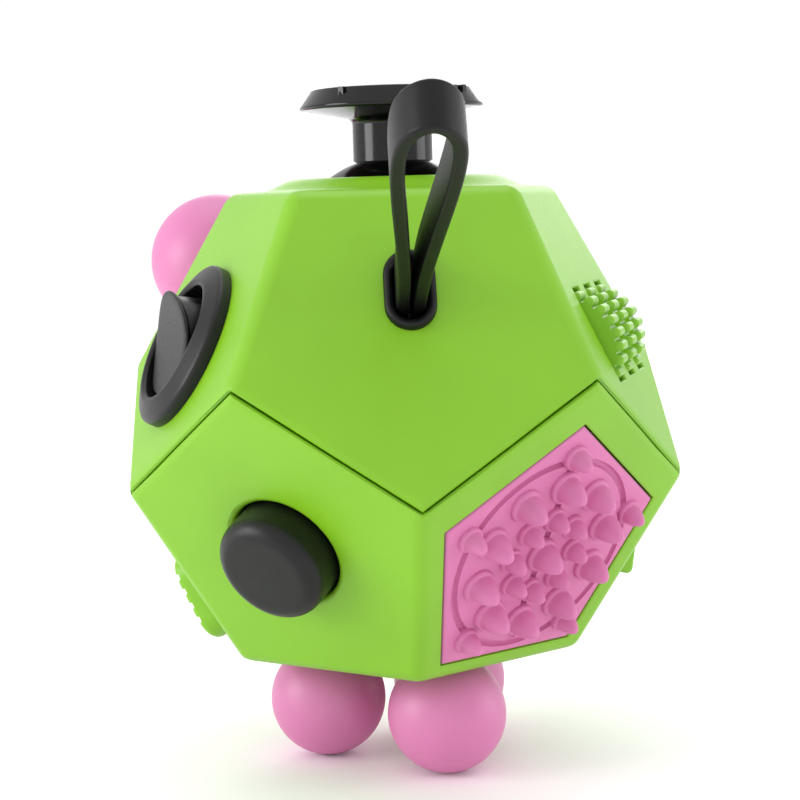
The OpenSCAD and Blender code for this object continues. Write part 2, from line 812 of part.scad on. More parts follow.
module foot_ball(i) {
    color(PINK) at_foot(i) difference() {
        translate([0, 0, foot_h]) sphere(d = foot_d);
        translate([0, 0, -1]) cylinder(r = post_d / 2 + fit, h = foot_h + 3.5);
    }
}

module ball_post(i) {
    color(SATIN) at_foot(i) {
        translate([0, 0, -wall - plate_t]) cylinder(r = post_d / 2 + 1.1, h = plate_t);
        translate([0, 0, -wall - 0.1]) cylinder(d = post_d, h = wall + foot_h + 2.3);
    }
}

module foot_ball_1() { foot_ball(0); }
module foot_ball_2() { foot_ball(1); }
module foot_ball_3() { foot_ball(2); }
module ball_post_1() { ball_post(0); }
module ball_post_2() { ball_post(1); }
module ball_post_3() { ball_post(2); }

module centre_ball() {
    color(PINK) on_face(FEET) translate([0, 0, seat_z]) sphere(r = seat_r - fit);
}

module centre_retainer() {
    color(SATIN) on_face(FEET) difference() {
        translate([0, 0, -wall - 1.4]) cylinder(r = 3.4, h = 1.4);
        translate([0, 0, seat_z]) sphere(r = seat_r);
    }
}

upper_shell();
lower_shell();
joystick_cap();
joystick_dome();
joystick_stem();
gimbal_ring();
joystick_bracket();
joystick_spring();
strap_grommet();
strap_loop();
strap_anchor();
gear_wheel_1();
gear_wheel_2();
gear_wheel_3();
gear_axle();
gear_cradle();
dial();
dial_ring();
dial_clip();
knob();
knob_plunger();
knob_guide();
knob_spring();
rocker_bezel();
rocker();
rocker_pin();
touch_pad();
flip_paddle_1();
flip_paddle_2();
flip_pin();
flip_bracket();
slider_1();
slider_2();
slider_3();
slider_carrier_1();
slider_carrier_2();
slider_carrier_3();
slider_tray();
button_cap();
button_guide();
button_spring();
foot_ball_1();
foot_ball_2();
foot_ball_3();
ball_post_1();
ball_post_2();
ball_post_3();
centre_ball();
centre_retainer();
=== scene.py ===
import math

import bmesh
import bpy
from mathutils import Matrix, Vector


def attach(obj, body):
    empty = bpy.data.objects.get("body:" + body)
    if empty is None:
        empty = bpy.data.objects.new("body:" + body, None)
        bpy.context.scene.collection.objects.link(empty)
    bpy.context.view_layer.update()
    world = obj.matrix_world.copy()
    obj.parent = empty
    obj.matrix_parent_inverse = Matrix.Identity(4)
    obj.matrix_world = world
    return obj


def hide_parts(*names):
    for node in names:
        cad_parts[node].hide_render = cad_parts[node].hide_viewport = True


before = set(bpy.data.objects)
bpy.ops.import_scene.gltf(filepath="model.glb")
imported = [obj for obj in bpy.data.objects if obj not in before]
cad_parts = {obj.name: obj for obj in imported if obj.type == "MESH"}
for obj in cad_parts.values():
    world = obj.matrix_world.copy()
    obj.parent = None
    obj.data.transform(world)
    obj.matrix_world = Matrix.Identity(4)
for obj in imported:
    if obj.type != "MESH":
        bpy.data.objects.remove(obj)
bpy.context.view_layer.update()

# ---- The body's shape, and where each face of it is ----
# The toy's body is a regular dodecahedron that stands on the three balls of its lowest face.
# Every gadget is modelled in millimetres on its own face: x sideways, y up the face, z outwards.

edge = 20.0
root5 = math.sqrt(5)
corner_r = edge * math.sqrt((5 + root5) / 10)
inradius = edge / 2 * math.sqrt((25 + 11 * root5) / 10)
waist_r = corner_r * (1 + root5) / 2
waist_z = inradius - corner_r
edge_reach = math.sqrt(waist_r**2 + waist_z**2 - edge**2 / 4)
corner_reach = math.sqrt(waist_r**2 + waist_z**2)
face_tilt = math.degrees(math.asin(1 / root5))
foot_d = 11.3
foot_h = 5.3
centre_z = inradius + foot_h + foot_d / 2


def face_place(azimuth, elevation):
    """The place of a face, from millimetres on the face to millimetres in the row's frame."""
    return (
        Matrix.Translation((0, 0, centre_z))
        @ Matrix.Rotation(math.radians(azimuth + 90), 4, "Z")
        @ Matrix.Rotation(math.radians(90 - elevation), 4, "X")
        @ Matrix.Translation((0, 0, inradius))
    )


STICK = face_place(-90, 90)
STRAP = face_place(-90, face_tilt)
GEARS = face_place(-18, face_tilt)
DIAL = face_place(54, face_tilt)
KNOB = face_place(126, face_tilt)
ROCKER = face_place(198, face_tilt)
PAD = face_place(-54, -face_tilt)
FLIPS = face_place(18, -face_tilt)
DENT = face_place(90, -face_tilt)
SLIDERS = face_place(162, -face_tilt)
BUTTON = face_place(234, -face_tilt)
FEET = face_place(90, -90)

# ---- Camera, lights and floor ----
# A plain white studio: the camera stands a little left of the strap's face and just above it.
# One broad soft light on each side lights the outer faces, and a large one hangs overhead.

eye = Vector((-0.568, -9.249, 1.023)) * edge * 0.001
look_at = Vector((0.0, 0.0, 0.0018))
camera_up = Vector((0.036, 0.130, 0.991))
lens_mm = 86.0

centre = Vector((0, 0, centre_z * 0.001))
camera = bpy.data.objects.new("camera", bpy.data.cameras.new("camera"))
bpy.context.collection.objects.link(camera)
back = (eye - look_at).normalized()
right = camera_up.cross(back).normalized()
upright = back.cross(right)
camera.matrix_world = Matrix.Translation(centre + eye) @ Matrix((right, upright, back)).transposed().to_4x4()
camera.data.lens = lens_mm
camera.data.clip_start = 0.005
bpy.context.scene.camera = camera


def linear(hex_colour):
    """An sRGB hex colour as linear red, green, blue and 1."""
    parts = [int(hex_colour[i : i + 2], 16) / 255 for i in (1, 3, 5)]
    return (*[c / 12.92 if c <= 0.04045 else ((c + 0.055) / 1.055) ** 2.4 for c in parts], 1)


def add(tree, kind, settings=(), inputs=()):
    """Adds a node; settings are its properties, and inputs are values or sockets to link."""
    new = tree.nodes.new(kind)
    for name, value in dict(settings).items():
        setattr(new, name, value)
    for name, value in dict(inputs).items():
        if isinstance(value, bpy.types.NodeSocket):
            tree.links.new(value, new.inputs[name])
        else:
            new.inputs[name].default_value = value
    return new


def soft_light(name, place, size, watts, colour="#ffffff"):
    lamp = bpy.data.objects.new(name, bpy.data.lights.new(name, "AREA"))
    bpy.context.collection.objects.link(lamp)
    lamp.data.shape = "DISK"
    lamp.data.size = size
    lamp.data.energy = watts
    lamp.data.color = linear(colour)[:3]
    lamp.location = place
    lamp.rotation_euler = (Vector(place) - centre).to_track_quat("Z", "Y").to_euler()


soft_light("left_softbox", (-0.50, -0.12, 0.16), 0.30, 1.3)
soft_light("right_softbox", (0.52, -0.04, 0.10), 0.30, 0.6)
soft_light("top_softbox", (0.0, 0.10, 0.55), 0.40, 0.5)
soft_light("back_softbox", (0.10, 0.55, 0.20), 0.40, 0.9)

world = bpy.data.worlds.new("white_studio")
bpy.context.scene.world = world
world.use_nodes = True
world.node_tree.nodes["Background"].inputs["Color"].default_value = linear("#ffffff")
world.node_tree.nodes["Background"].inputs["Strength"].default_value = 1.02
bpy.context.scene.view_settings.view_transform = "Standard"

floor_mesh = bpy.data.meshes.new("floor")
floor_mesh.from_pydata([(-4, -4, 0), (4, -4, 0), (4, 4, 0), (-4, 4, 0)], [], [(0, 1, 2, 3)])
floor = bpy.data.objects.new("floor", floor_mesh)
bpy.context.collection.objects.link(floor)
paper = bpy.data.materials.new("white seamless paper")
paper.use_nodes = True
paper_bsdf = paper.node_tree.nodes["Principled BSDF"]
paper_bsdf.inputs["Base Color"].default_value = linear("#ffffff")
paper_bsdf.inputs["Roughness"].default_value = 0.9
floor.data.materials.append(paper)

# ---- Shells ----
# Two moulded ABS half shells, parted along the zigzag waist, with softly rounded edges. A tongue
# on the lower one closes the seam from inside. Each opening has the small round rim that the
# mould gives it, and the joystick's opening has a raised crater lip.

wall = 2.2
seam = 0.24
tongue = 1.2
seam_depth = 0.3
body_round = 1.75
rim_steps = 4

def scaled(hex_colour, factor):
    """The hex colour's linear value, made lighter or darker."""
    return (*[c * factor for c in linear(hex_colour)[:3]], 1)


def moulded_plastic(name, colour, roughness, grain_mm, grain_depth_mm, mottle=0.05, shine=0.5):
    """Injection-moulded plastic: an even colour, with the fine spark-eroded grain of its mould."""
    material = bpy.data.materials.new(name)
    material.use_nodes = True
    tree = material.node_tree
    bsdf = tree.nodes["Principled BSDF"]
    place = add(tree, "ShaderNodeTexCoord")
    flow = add(
        tree, "ShaderNodeTexNoise", (),
        {"Vector": place.outputs["Object"], "Scale": 70.0, "Detail": 3.0},
    )
    ramp = add(tree, "ShaderNodeValToRGB", (), {"Fac": flow.outputs["Fac"]})
    ramp.color_ramp.elements[0].position = 0.3
    ramp.color_ramp.elements[1].position = 0.7
    ramp.color_ramp.elements[0].color = scaled(colour, 1 - mottle)
    ramp.color_ramp.elements[1].color = scaled(colour, 1 + mottle)
    tree.links.new(ramp.outputs["Color"], bsdf.inputs["Base Color"])
    grain = add(
        tree, "ShaderNodeTexNoise", (),
        {"Vector": place.outputs["Object"], "Scale": 1000 / grain_mm, "Detail": 2.0, "Roughness": 0.6},
    )
    sheen = add(
        tree, "ShaderNodeMapRange", (),
        {"Value": grain.outputs["Fac"], "From Min": 0.3, "From Max": 0.7,
         "To Min": roughness - 0.04, "To Max": roughness + 0.04},
    )
    tree.links.new(sheen.outputs["Result"], bsdf.inputs["Roughness"])
    bump = add(
        tree, "ShaderNodeBump", (),
        {"Height": grain.outputs["Fac"], "Strength": 0.6, "Distance": grain_depth_mm * 0.001},
    )
    tree.links.new(bump.outputs["Normal"], bsdf.inputs["Normal"])
    bsdf.inputs["IOR"].default_value = 1.53
    bsdf.inputs["Specular IOR Level"].default_value = shine
    return material


# ABS, moulded in a finely eroded tool: a clean lime green with a soft satin highlight.
green_abs = moulded_plastic("moulded lime ABS", "#7ab412", 0.42, 0.30, 0.006)


def mesh_object(name, verts, faces):
    """A closed mesh in millimetres, with its faces turned outwards."""
    mesh = bpy.data.meshes.new(name)
    mesh.from_pydata([tuple(v) for v in verts], [], faces)
    bm = bmesh.new()
    bm.from_mesh(mesh)
    bmesh.ops.recalc_face_normals(bm, faces=bm.faces)
    bm.to_mesh(mesh)
    bm.free()
    made = bpy.data.objects.new(name, mesh)
    bpy.context.collection.objects.link(made)
    return made


def carve(solid, tool, operation="DIFFERENCE"):
    """Cuts, joins or intersects a solid with a tool, which is used up."""
    modifier = solid.modifiers.new("carve", "BOOLEAN")
    modifier.operation = operation
    modifier.solver = "MANIFOLD"
    modifier.object = tool
    bpy.context.view_layer.update()
    graph = bpy.context.evaluated_depsgraph_get()
    done = bpy.data.meshes.new_from_object(solid.evaluated_get(graph))
    solid.modifiers.clear()
    solid.data = done
    bpy.data.objects.remove(tool)
    return solid


def finish_piece(piece, material, body, replaced, sharp=35, weighted=True):
    """Turns a piece from millimetres into metres, shades it, and gives it to its body."""
    piece.data.transform(Matrix.Scale(0.001, 4))
    piece.data.materials.clear()
    piece.data.materials.append(material)
    piece.data.polygons.foreach_set("use_smooth", [True] * len(piece.data.polygons))
    piece.data.polygons.foreach_set("material_index", [0] * len(piece.data.polygons))
    piece.data.set_sharp_from_angle(angle=math.radians(sharp))
    if weighted:
        normals = piece.modifiers.new("flat faces stay flat", "WEIGHTED_NORMAL")
        normals.keep_sharp = True
    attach(piece, body)
    if replaced:
        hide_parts(*replaced)
    return piece


def lathe(profile, steps=96, closed=False):
    """A shape turned round z from (radius, height) pairs; a radius of 0 is a pole."""
    verts, rings, faces = [], [], []
    for radius, height in profile:
        if radius < 1e-6:
            rings.append([len(verts)] * steps)
            verts.append((0, 0, height))
        else:
            rings.append(list(range(len(verts), len(verts) + steps)))
            verts += [
                (radius * math.cos(math.tau * k / steps), radius * math.sin(math.tau * k / steps), height)
                for k in range(steps)
            ]
    pairs = list(zip(rings, rings[1:])) + ([(rings[-1], rings[0])] if closed else [])
    for low, high in pairs:
        for k in range(steps):
            corners = [low[k], low[(k + 1) % steps], high[(k + 1) % steps], high[k]]
            faces.append(list(dict.fromkeys(corners)))
    return verts, faces


def loft(rings, capped=True):
    """A skin over rings of as many points each, with flat ends, or closed into a loop."""
    count = len(rings[0])
    verts = [v for ring in rings for v in ring]
    last = len(rings) if not capped else len(rings) - 1
    faces = [
        [i * count + k, i * count + (k + 1) % count,
         (i + 1) % len(rings) * count + (k + 1) % count, (i + 1) % len(rings) * count + k]
        for i in range(last) for k in range(count)
    ]
    if capped:
        faces += [list(range(count))[::-1], list(range((len(rings) - 1) * count, len(rings) * count))]
    return verts, faces


def stadium(width, length, height, middle=(0, 0), steps=14):
    """A slot's outline with round ends, standing along y, at one height."""
    r, half = width / 2, (length - width) / 2
    return [
        (middle[0] + r * math.cos(a), middle[1] + side * half + r * math.sin(a), height)
        for side, start in ((1, 0), (-1, math.pi))
        for a in [start + math.pi * k / steps for k in range(steps + 1)]
    ]


def rim(radius, depth):
    """A round rim for an opening, as (extra radius, height) pairs down to its depth."""
    turns = [math.pi / 2 * k / rim_steps for k in range(rim_steps + 1)]
    curve = [(radius * (1 - math.sin(t)), -radius * (1 - math.cos(t))) for t in turns]
    return [(radius + 0.3, 1.0), (radius + 0.01, 0.012)] + curve + [(0, -depth)]


def duplicate(solid, name):
    twin = bpy.data.objects.new(name, solid.data.copy())
    bpy.context.collection.objects.link(twin)
    return twin


def placed(shape, place):
    verts, faces = shape
    return [place @ Vector(v) for v in verts], faces


def round_cutter(place, radius, rim_radius, depth, at=(0, 0)):
    profile = [(0, 1.0)] + [(radius + grow, z) for grow, z in rim(rim_radius, depth)] + [(0, -depth)]
    return placed(lathe(profile), place @ Matrix.Translation((*at, 0)))


def slot_cutter(place, width, length, rim_radius, depth, at=(0, 0)):
    rings = [stadium(width + 2 * g, length + 2 * g, z, at) for g, z in rim(rim_radius, depth)]
    return placed(loft(rings), place)


def joined(name, shapes):
    """One mesh from several separate closed shapes."""
    verts, faces = [], []
    for shape_verts, shape_faces in shapes:
        faces += [[i + len(verts) for i in face] for face in shape_faces]
        verts += shape_verts
    return mesh_object(name, verts, faces)


def dodecahedron(name, radius, rounding=0.0):
    """A dodecahedron with this inradius, its edges rounded to a radius."""
    size = radius / inradius
    bm = bmesh.new()
    for turn in range(5):
        up, down = math.radians(72 * turn + 18), math.radians(72 * turn + 54)
        for angle, r, z in ((up, corner_r, inradius), (up, waist_r, waist_z),
                            (down, waist_r, -waist_z), (down, corner_r, -inradius)):
            bm.verts.new(((r * math.cos(angle)) * size, (r * math.sin(angle)) * size, z * size))
    bmesh.ops.convex_hull(bm, input=bm.verts)
    bmesh.ops.dissolve_limit(bm, angle_limit=math.radians(2), verts=bm.verts, edges=bm.edges)
    if rounding:
        half_turn = math.pi / 2 - math.atan((1 + root5) / 2)
        bmesh.ops.bevel(
            bm, geom=bm.edges[:] + bm.verts[:], offset=rounding * math.tan(half_turn), offset_type="OFFSET",
            segments=6, profile=0.5, affect="EDGES", clamp_overlap=True,
        )
    bmesh.ops.translate(bm, vec=(0, 0, centre_z), verts=bm.verts)
    bmesh.ops.recalc_face_normals(bm, faces=bm.faces)
    mesh = bpy.data.meshes.new(name)
    bm.to_mesh(mesh)
    bm.free()
    made = bpy.data.objects.new(name, mesh)
    bpy.context.collection.objects.link(made)
    return made


def waist_corner(k, reach):
    angle = math.radians(36 * k + 18)
    side = 1 if k % 2 == 0 else -1
    return Vector((waist_r * math.cos(angle), waist_r * math.sin(angle), waist_z * side)) * reach


def waist_point(half):
    """Corners of the waist at even numbers, and the middles of its edges at odd ones."""
    if half % 2 == 0:
        return waist_corner(half // 2, 1.0)
    return (waist_corner(half // 2, 1.0) + waist_corner(half // 2 + 1, 1.0)) / 2


def below_waist(rise):
    """Everything under the zigzag waist, moved up by rise."""
    up = Vector((0, 0, centre_z + rise))
    top = [waist_corner(k, 1.6) + up for k in range(10)]
    bottom = [Vector((v.x, v.y, -3 * edge)) for v in top]
    faces = [[0, 1 + (k + 1) % 10, 1 + k] for k in range(10)]
    faces += [[1 + k, 1 + (k + 1) % 10, 11 + (k + 1) % 10, 11 + k] for k in range(10)]
    faces += [[11 + k for k in range(10)]]
    return mesh_object("below_waist", [up] + top + bottom, faces)


def seam_groove():
    """A thin four-sided ring round the waist, which breaks the seam's sharp corners."""
    up = Vector((0, 0, centre_z))
    edge_sink = body_round * (edge_reach / inradius - 1)
    corner_sink = body_round * (corner_reach / inradius - 1)
    rings = []
    for k in range(20):
        before, here, after = (waist_point(k + step) for step in (-1, 0, 1))
        out = here.normalized()
        side = (after - before).normalized().cross(out)
        sunk = corner_sink if k % 2 == 0 else edge_sink
        rings.append([
            here + up + out * (math.cos(t) * seam_depth - sunk) + side * math.sin(t) * seam_depth
            for t in (0, math.pi / 2, math.pi, 3 * math.pi / 2)
        ])
    return loft(rings, capped=False)


# The joystick's crater lip: a soft rise round the opening, which is cut to a ball's shape.
stick_depth = 7.0
dome_r = 10.4
opening_r = dome_r + 0.25
lip_foot, lip_top_r, lip_h = 12.9, 9.4, 1.1
lip = [(0, -0.9), (lip_foot, -0.9)]
for k in range(13):
    t = k / 12
    lip.append((lip_foot + (lip_top_r - lip_foot) * t, -0.02 + (lip_h + 0.02) * t * t * (3 - 2 * t)))
lip += [(0, lip_h)]
rim_r = 0.7
rim_z = lip_h - rim_r
ball_at_rim = math.sqrt(opening_r**2 - (rim_z + stick_depth) ** 2)
opening = [(0, 2.0), (ball_at_rim + rim_r + 0.2, 2.0), (ball_at_rim + rim_r + 0.01, lip_h + 0.01)]
for k in range(7):
    t = math.pi / 2 * k / 6
    opening.append((ball_at_rim + rim_r * (1 - math.sin(t)), rim_z + rim_r * math.cos(t)))
for z in (0.0, -0.6, -1.2, -1.8, -2.6):
    opening.append((math.sqrt(opening_r**2 - (z + stick_depth) ** 2), z))
opening.append((0, -2.6))

# The toothed wheels' slots
wheel_r, wheel_w, wheel_pitch, wheel_down, wheel_depth = 5.7, 3.3, 6.5, 1.6, 3.6
slot_r, slot_gap = wheel_r + 0.25, 0.2


def wheel_slot(i):
    chord = 2 * math.sqrt(slot_r**2 - wheel_depth**2)
    at = Matrix.Translation((i * wheel_pitch, -wheel_down, 0))
    half_w, half_l = wheel_w / 2 + slot_gap, chord / 2
    rings = []
    for grow, z in ((0.22, 0.6), (0.22, 0.01), (0.10, -0.06), (0.02, -0.18), (0.0, -0.3), (0.0, -wall - 1)):
        x, y = half_w + grow, half_l + grow + max(0, -z - 0.3) * 0.6
        rings.append([(x, y, z), (-x, y, z), (-x, -y, z), (x, -y, z)])
    return placed(loft(rings), GEARS @ at)


upper_cutters = [
    placed(lathe(opening, 128), STICK),
    slot_cutter(STRAP, 3.9, 6.6, 0.1, 3.4, at=(0, 3.6)),
    wheel_slot(-1), wheel_slot(0), wheel_slot(1),
    placed(lathe([(0, 1), (11.62, 1), (11.55, 0.02), (11.42, -0.05), (11.32, -0.22), (11.3, -1.2),
                  (9.7, -1.2), (9.7, -3.4), (0, -3.4)], 128), DIAL),
    round_cutter(KNOB, 3.95, 0.35, 3.4),
    round_cutter(ROCKER, 6.6, 0.1, 3.4, at=(0, -2.2)),
]

# The worry dent: a thumb-sized pill with a soft lip and a nearly flat floor
dent_w, dent_l, dent_t = 14.4, 22.8, 1.3
dent_rings = [stadium(dent_w + 0.9, dent_l + 0.9, 0.8, steps=32)]
for k in range(13):
    t = k / 12
    grow = 0.45 - 2.4 * t
    sunk = (dent_t - 0.12) * t * t * (3 - 2 * t)
    dent_rings.append(stadium(dent_w + 2 * grow, dent_l + 2 * grow, 0.015 - sunk, steps=32))
for inset, z in ((3.6, -dent_t + 0.07), (5.2, -dent_t + 0.02), (6.6, -dent_t)):
    dent_rings.append(stadium(dent_w - 2 * inset, dent_l - 2 * inset, z, steps=32))

slot_w, slot_l, slot_pitch, slot_mid, slot_step = 2.9, 14.0, 7.2, -2.5, 5.4
foot_ring = 7.9
foot_turns = [math.radians(36 + 120 * i) for i in range(3)]
foot_spots = [(-foot_ring * math.sin(t), foot_ring * math.cos(t)) for t in foot_turns]
seat_r, seat_z = 2.16, -0.6


def pentagon(side, height):
    r = side * math.sqrt((5 + root5) / 10)
    return [(r * math.cos(a), r * math.sin(a), height)
            for a in [math.radians(90 + 72 * k) for k in range(5)]]


def foot_dimple(spot):
    r = foot_d / 2 + 0.4
    profile = [(0, 1.5)]
    dip = [(math.sqrt(r * r - (z - foot_h) ** 2), z) for z in (1.5, 1.0, 0.5, 0.0, -0.2, -0.35)]
    post = [(1.5, -0.42), (1.5, -3.4), (0, -3.4)]
    return placed(lathe(profile + dip + post, 64), FEET @ Matrix.Translation((*spot, 0)))


pad_edge, pad_t, pad_down = 16.0, 1.3, 1.2
pocket_u, pocket_v = 9.0, 7.7
lower_cutters = [
    placed(loft([pentagon(pad_edge + g, z)
                 for g, z in ((0.4, 1), (0.25, 0.01), (0.0, -0.12), (0.0, -pad_t))]),
           PAD @ Matrix.Translation((0, -pad_down, 0))),
    placed(loft([[(x * (pocket_u + g), y * (pocket_v + g), z)
                  for x, y in ((1, 1), (-1, 1), (-1, -1), (1, -1))]
                 for g, z in ((0.35, 1), (0.35, 0.01), (0.12, -0.1), (0.0, -0.32), (0.0, -3.4))]), FLIPS),
    placed(loft(dent_rings), DENT),
    round_cutter(BUTTON, 5.45, 0.55, 3.4),
    placed(lathe([(0, 1), (2.6, 1), (2.45, 0.02), (2.2, -0.1), (2.1, -0.3), (seat_r, -0.6),
                  (seat_r, -3.4), (0, -3.4)], 64), FEET),
]
lower_cutters += [
    slot_cutter(SLIDERS, slot_w, slot_l, 0.28, 3.4,
                at=(i * slot_pitch, slot_mid + (slot_step if i == 0 else 0)))
    for i in (-1, 0, 1)
]
lower_cutters += [foot_dimple(spot) for spot in foot_spots]

body = dodecahedron("body", inradius, body_round)
carve(body, mesh_object("lip", *placed(lathe(lip, 128), STICK)), "UNION")
carve(body, mesh_object("groove", *seam_groove()))
carve(body, dodecahedron("cavity", inradius - wall))
layer = carve(dodecahedron("layer", inradius - wall / 2), below_waist(tongue), "INTERSECT")
ring = carve(duplicate(layer, "ring"), dodecahedron("cavity", inradius - wall))

lower_shell = duplicate(body, "lower_shell_moulding")
carve(lower_shell, below_waist(-seam / 2), "INTERSECT")
carve(lower_shell, ring, "UNION")
carve(lower_shell, joined("openings", lower_cutters))

upper_shell = body
upper_shell.name = "upper_shell_moulding"
carve(upper_shell, below_waist(seam / 2))
carve(upper_shell, layer)
carve(upper_shell, joined("openings", upper_cutters))

finish_piece(upper_shell, green_abs, "shell", ["upper_shell"], sharp=40)
finish_piece(lower_shell, green_abs, "shell", ["lower_shell"], sharp=40)

# ---- Joystick ----
# A glossy black ABS thumb cap with a dished top, four thin fins and a round neck, pressed on a
# stem that passes through a black dome. The dome hides the opening while the stick tilts.

cap_r, neck_r = 8.85, 3.85
dome_t = 1.2
fin_turn = 52
gloss_abs = moulded_plastic("polished black ABS", "#060606", 0.15, 0.40, 0.003, shine=0.34)


def arc(middle_r, middle_z, radius, start, end, steps=6):
    """Points of a round corner in a turned profile; the angles are in degrees."""
    turns = [math.radians(start + (end - start) * k / steps) for k in range(steps + 1)]
    return [(middle_r + radius * math.cos(t), middle_z + radius * math.sin(t)) for t in turns]


dome_top = -stick_depth + math.sqrt(dome_r**2 - neck_r**2)
cap_profile = (
    [(0, dome_top - 0.2), (neck_r, dome_top - 0.2)]
    + arc(neck_r + 0.6, 6.15, 0.6, 180, 100)
    + [(cap_r - 0.5, 7.55)]
    + arc(cap_r - 0.28, 7.83, 0.28, -80, 35)
    + arc(cap_r - 1.25, 9.22, 0.28, 40, 90)
    + arc(cap_r - 1.62, 9.28, 0.22, 90, 175)
    + [(cap_r - 1.9, 8.85), (cap_r - 2.3, 8.68), (5.2, 8.48), (2.6, 8.28), (0, 8.2)]
)
cap = mesh_object("thumb_cap", *lathe(cap_profile, 128))
fins = []
for quarter in range(4):
    spin = Matrix.Rotation(math.radians(fin_turn + 90 * quarter), 4, "Z")
    side = [(3.2, 8.0), (3.2, 8.42), (6.6, 9.34), (8.3, 9.46), (8.3, 8.7), (7.0, 8.0)]
    blade = loft([[(x, y, z) for x, z in side] for y in (-0.28, 0.28)])
    fins.append(placed(blade, spin))
carve(cap, joined("fins", fins), "UNION")
cap.data.transform(STICK)
finish_piece(cap, gloss_abs, "stick", ["joystick_cap"])

outer = [(dome_r * math.sin(t), -stick_depth + dome_r * math.cos(t))
         for t in [math.radians(19 + (54.7 - 19) * k / 16) for k in range(17)]]
inner = [(r * (dome_r - dome_t) / dome_r, -stick_depth + (z + stick_depth) * (dome_r - dome_t) / dome_r)
         for r, z in outer]
dome = mesh_object("stick_dome", *placed(lathe(outer + inner[::-1], 128, closed=True), STICK))
finish_piece(dome, gloss_abs, "stick", ["joystick_dome"])

# ---- Wrist strap ----
# A flat black silicone band, folded into a loop and held behind an oblong rubber grommet. It is
# stiff enough to stand out by itself, and opens into a teardrop towards its outer end.

strap_up, strap_w, strap_t = 3.6, 4.1, 1.15
half_route = [(0.75, -5.4), (0.75, -2), (0.75, 1), (0.78, 4), (0.95, 8), (1.25, 12), (1.6, 16),
              (1.95, 20), (2.2, 23.5), (2.3, 26), (2.28, 28), (2.05, 29.8), (1.5, 31.2), (0.8, 32),
              (0, 32.3)]
route = half_route + [(-u, n) for u, n in half_route[-2::-1]]


def silicone(name, colour, roughness, grain_mm, glow=0.0):
    """Moulded silicone rubber: a matt skin with a fine even tooth and no hard highlight."""
    material = moulded_plastic(name, colour, roughness, grain_mm, 0.010, mottle=0.03, shine=0.4)
    bsdf = material.node_tree.nodes["Principled BSDF"]
    bsdf.inputs["IOR"].default_value = 1.41
    bsdf.inputs["Subsurface Weight"].default_value = glow
    bsdf.inputs["Subsurface Radius"].default_value = (0.0016, 0.0006, 0.0009)
    return material


black_silicone = silicone("moulded black silicone", "#080808", 0.46, 0.25)


def smooth_route(points, steps=6):
    """A Catmull-Rom curve through the points."""
    ends = [points[0]] + list(points) + [points[-1]]
    curve = []
    for a, b, c, d in zip(ends, ends[1:], ends[2:], ends[3:]):
        for k in range(steps):
            t = k / steps
            curve.append(tuple(
                0.5 * (2 * q + (r - p) * t + (2 * p - 5 * q + 4 * r - s) * t * t
                       + (3 * q - p - 3 * r + s) * t**3)
                for p, q, r, s in zip(a, b, c, d)
            ))
    return curve + [tuple(points[-1])]


curve = smooth_route(route)
corner = 0.3
band = [(sx * (strap_t / 2 - corner) + corner * math.cos(t),
         sy * (strap_w / 2 - corner) + corner * math.sin(t))
        for sx, sy, start in ((1, 1, 0), (-1, 1, 90), (-1, -1, 180), (1, -1, 270))
        for t in [math.radians(start + 22.5 * k) for k in range(5)]]
band_rings, strap_line = [], []
for i, (u, n) in enumerate(curve):
    before, after = curve[max(i - 1, 0)], curve[min(i + 1, len(curve) - 1)]
    ahead = Vector((after[0] - before[0], after[1] - before[1])).normalized()
    across = Vector((ahead.y, -ahead.x))
    band_rings.append([STRAP @ Vector((u + across.x * x, strap_up + y, n + across.y * x)) for x, y in band])
    strap_line.append(tuple(STRAP @ Vector((u, strap_up, n)) * 0.001))
strap = mesh_object("wrist_strap", *loft(band_rings))
finish_piece(strap, black_silicone, "shell", ["strap_loop"])

grommet_rings = [
    stadium(3.0 + 2 * g, 5.9 + 2 * g, z, (0, strap_up))
    for g, z in [(0.0, -2.6), (0.0, 0.45), (0.06, 0.68), (0.2, 0.84), (0.4, 0.9), (0.6, 0.85),
                 (0.74, 0.72), (0.8, 0.5), (0.8, 0.0), (0.44, -0.1), (0.44, -2.6)]
]
grommet = mesh_object("grommet", *placed(loft(grommet_rings, capped=False), STRAP))
finish_piece(grommet, black_silicone, "shell", ["strap_grommet"])

# ---- Toothed wheels ----
# Three green ABS wheels on one steel axle; each spins by itself in its own slot. Their blunt
# teeth are moulded with the hub.

wheel_teeth = 26
tooth_root = 5.1


def group_input(tree, name, kind):
    return tree.interface.new_socket(name, in_out="INPUT", socket_type=kind).identifier


